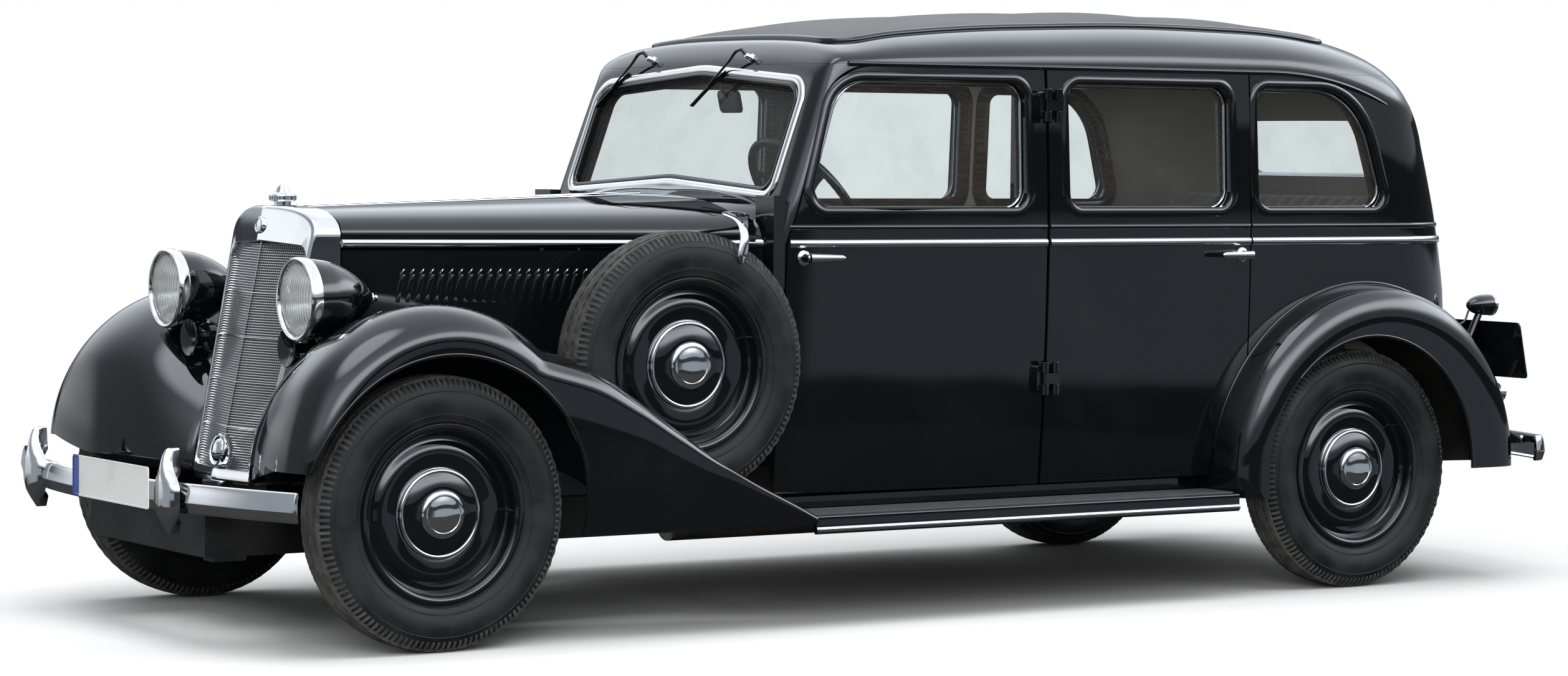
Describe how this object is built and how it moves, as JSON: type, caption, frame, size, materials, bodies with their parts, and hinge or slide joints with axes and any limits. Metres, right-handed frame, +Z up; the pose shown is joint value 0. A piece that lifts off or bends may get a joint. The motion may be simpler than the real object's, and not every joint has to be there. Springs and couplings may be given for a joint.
{
  "type": "four-door limousine",
  "caption": "Pre-war four-door limousine with upright radiator, flowing fenders, side-mounted spares, folding cloth roof, opening doors and bonnet.",
  "frame": {"origin": "on the ground under the middle of the car's length and width", "axes": "+X towards the back of the car, +Y towards its right side, +Z up; the front faces -X"},
  "size_m": [4.5648, 1.72, 1.6862],
  "materials": {
    "black_paint": "gloss black paint",
    "chassis_black": "satin black paint",
    "cast_grey": "painted casting",
    "exhaust_steel": "dull steel",
    "floor_covering": "dark floor covering",
    "roof_cloth": "matt dark grey cloth",
    "window_glass": "clear glass",
    "lamp_glass": "fluted lamp glass",
    "bright_metal": "chrome plate",
    "grille_metal": "plated grille bars",
    "step_rubber": "ribbed black rubber",
    "tyre_rubber": "black rubber",
    "seat_cloth": "pleated grey-beige cloth",
    "dash_wood": "varnished wood",
    "wheel_rim_black": "gloss black"
  },
  "bodies": {
    "car": {"chassis_frame": "chassis_black", "engine": "cast_grey", "front_suspension": "chassis_black", "rear_axle": "chassis_black", "exhaust": "exhaust_steel", "fuel_tank": "chassis_black", "floor": "floor_covering", "cowl": "black_paint", "roof_panel": "black_paint", "roof_fabric": "roof_cloth", "rear_body": "black_paint", "door_posts": "black_paint", "fixed_windows": "window_glass", "bonnet_sides": "black_paint", "bonnet_hinge": "bright_metal", "radiator_shell": "bright_metal", "radiator_grille": "grille_metal", "radiator_cap": "bright_metal", "front_fenders": "black_paint", "rear_fenders": "black_paint", "running_boards": "step_rubber", "headlamps": "black_paint", "headlamp_lenses": "lamp_glass", "horns": "black_paint", "front_bumper": "bright_metal", "rear_bumper": "bright_metal", "tail_lamps": "black_paint", "spare_tyres": "tyre_rubber", "spare_wheels": "black_paint", "front_seat": "seat_cloth", "rear_seat": "seat_cloth", "dashboard": "dash_wood", "trafficators": "black_paint"},
    "bonnet_left": {"bonnet_left": "black_paint"},
    "bonnet_right": {"bonnet_right": "black_paint"},
    "knuckle_left": {"knuckle_left": "chassis_black"},
    "knuckle_right": {"knuckle_right": "chassis_black"},
    "steering_wheel": {"steering_wheel": "wheel_rim_black"},
    "door_front_left": {"door_front_left": "black_paint", "glass_front_left": "window_glass"},
    "road_wheel_front_left": {"tyre_front_left": "tyre_rubber", "wheel_front_left": "black_paint"},
    "door_front_right": {"door_front_right": "black_paint", "glass_front_right": "window_glass"},
    "road_wheel_front_right": {"tyre_front_right": "tyre_rubber", "wheel_front_right": "black_paint"},
    "door_rear_left": {"door_rear_left": "black_paint", "glass_rear_left": "window_glass"},
    "road_wheel_rear_left": {"tyre_rear_left": "tyre_rubber", "wheel_rear_left": "black_paint"},
    "door_rear_right": {"door_rear_right": "black_paint", "glass_rear_right": "window_glass"},
    "road_wheel_rear_right": {"tyre_rear_right": "tyre_rubber", "wheel_rear_right": "black_paint"}
  },
  "joints": [
    {"name": "bonnet_left_lid", "type": "hinge", "parent": "car", "child": "bonnet_left", "pos_m": [-1.6625, 0, 1.112], "axis": [-0.9994, 0, -0.0339], "range_deg": [0, 55]},
    {"name": "bonnet_right_lid", "type": "hinge", "parent": "car", "child": "bonnet_right", "pos_m": [-1.6625, 0, 1.112], "axis": [0.9994, 0, 0.0339], "range_deg": [0, 55]},
    {"name": "door_front_left_hinge", "type": "hinge", "parent": "car", "child": "door_front_left", "pos_m": [0.29605, -0.714, 1], "axis": [0, 0, 1], "range_deg": [0, 72]},
    {"name": "door_rear_left_hinge", "type": "hinge", "parent": "car", "child": "door_rear_left", "pos_m": [0.33205, -0.714, 1], "axis": [0, 0, -1], "range_deg": [0, 72]},
    {"name": "door_front_right_hinge", "type": "hinge", "parent": "car", "child": "door_front_right", "pos_m": [0.29605, 0.714, 1], "axis": [0, 0, -1], "range_deg": [0, 72]},
    {"name": "door_rear_right_hinge", "type": "hinge", "parent": "car", "child": "door_rear_right", "pos_m": [0.33205, 0.714, 1], "axis": [0, 0, 1], "range_deg": [0, 72]},
    {"name": "steer_left", "type": "hinge", "parent": "car", "child": "knuckle_left", "pos_m": [-1.6225, -0.6, 0.35], "axis": [0, 0, 1], "range_deg": [-30, 30]},
    {"name": "steer_right", "type": "hinge", "parent": "car", "child": "knuckle_right", "pos_m": [-1.6225, 0.6, 0.35], "axis": [0, 0, 1], "range_deg": [-30, 30]},
    {"name": "steering_wheel_turn", "type": "hinge", "parent": "car", "child": "steering_wheel", "pos_m": [-0.2575, -0.32, 1.127], "axis": [0.788, 0, 0.6157], "range_deg": [-360, 360]},
    {"name": "wheel_front_left_spin", "type": "hinge", "parent": "knuckle_left", "child": "road_wheel_front_left", "pos_m": [-1.6225, -0.7, 0.35], "axis": [0, -1, 0], "continuous": true},
    {"name": "wheel_front_right_spin", "type": "hinge", "parent": "knuckle_right", "child": "road_wheel_front_right", "pos_m": [-1.6225, 0.7, 0.35], "axis": [0, -1, 0], "continuous": true},
    {"name": "wheel_rear_left_spin", "type": "hinge", "parent": "car", "child": "road_wheel_rear_left", "pos_m": [1.4275, -0.685, 0.35], "axis": [0, -1, 0], "continuous": true},
    {"name": "wheel_rear_right_spin", "type": "hinge", "parent": "car", "child": "road_wheel_rear_right", "pos_m": [1.4275, 0.685, 0.35], "axis": [0, -1, 0], "continuous": true}
  ],
  "couplings": [
    {"joint": "steer_right", "follows": "steer_left", "ratio": 1},
    {"joint": "steering_wheel_turn", "follows": "steer_left", "ratio": 12}
  ]
}
